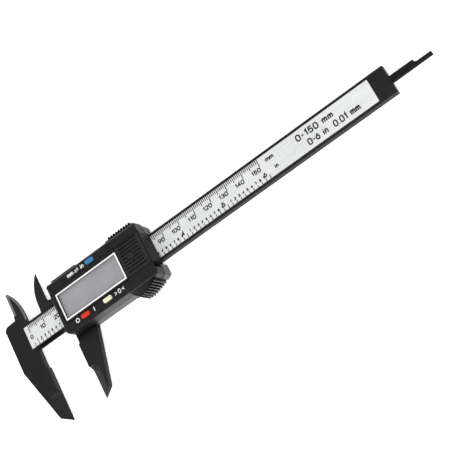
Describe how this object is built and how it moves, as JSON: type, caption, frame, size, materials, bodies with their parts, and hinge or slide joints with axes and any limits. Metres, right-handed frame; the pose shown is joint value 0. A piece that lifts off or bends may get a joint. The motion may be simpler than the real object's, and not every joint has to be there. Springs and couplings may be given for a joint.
{
  "type": "digital caliper",
  "caption": "Digital caliper, 150 mm, black moulded plastic with a silver printed scale, sliding display head, three coloured buttons, battery cover and depth rod.",
  "frame": {"origin": "on the back face of the beam, on its centre line, at the zero plane that the fixed outside jaw measures from", "axes": "+X along the beam from the fixed jaw to the depth rod, +Y across the beam towards the inside jaws, +Z out of the display; the caliper lies on its back, on the slider's back plate at Z = -2.4 mm"},
  "size_m": [0.2599, 0.0782, 0.0149],
  "materials": {
    "black_plastic": "satin moulded, fine grain",
    "scale_print": "fine brushed foil with black print",
    "copper_strip": "coated circuit strip",
    "steel": "satin",
    "rod_black": "satin black",
    "window": "clear, flat",
    "lcd": "grey reflective display",
    "white_plastic": "satin",
    "rubber_pink": "matte",
    "board_green": "solder mask",
    "chip_black": "epoxy",
    "capacitor": "matte",
    "button_blue": "satin",
    "button_red": "satin",
    "button_yellow": "satin"
  },
  "bodies": {
    "beam": {"beam": "black_plastic", "scale_strip": "copper_strip", "scale_label": "scale_print", "end_stop": "steel", "end_stop_screws": "steel"},
    "slider": {"slider_body": "black_plastic", "front_cover": "black_plastic", "back_plate": "black_plastic", "case_screws": "steel", "gib_spring": "steel", "depth_rod": "rod_black", "rod_screw": "steel", "display_window": "window", "lcd_glass": "lcd", "lcd_frame": "white_plastic", "zebra_strips": "rubber_pink", "main_board": "board_green", "chip_cap": "chip_black", "capacitors": "capacitor", "board_screws": "steel", "dome_units": "steel", "dome_power": "steel", "dome_zero": "steel", "battery": "steel", "contact_positive": "steel", "contact_negative": "steel"},
    "battery_cover": {"battery_cover": "black_plastic"},
    "button_units": {"button_units": "button_blue"},
    "button_power": {"button_power": "button_red"},
    "button_zero": {"button_zero": "button_yellow"}
  },
  "joints": [
    {"name": "slider_slide", "type": "slide", "parent": "beam", "child": "slider", "axis": [1, 0, 0], "range_m": [-0.02148, 0.1285]},
    {"name": "battery_cover_slide", "type": "slide", "parent": "slider", "child": "battery_cover", "axis": [1, 0, 0], "range_m": [0, 0.018]},
    {"name": "units_press", "type": "slide", "parent": "slider", "child": "button_units", "axis": [0, 0, -1], "range_m": [0, 0.0005], "stiffness_N_per_m": 400, "deforming": ["dome_units"]},
    {"name": "power_press", "type": "slide", "parent": "slider", "child": "button_power", "axis": [0, 0, -1], "range_m": [0, 0.0005], "stiffness_N_per_m": 400, "deforming": ["dome_power"]},
    {"name": "zero_press", "type": "slide", "parent": "slider", "child": "button_zero", "axis": [0, 0, -1], "range_m": [0, 0.0005], "stiffness_N_per_m": 400, "deforming": ["dome_zero"]}
  ]
}
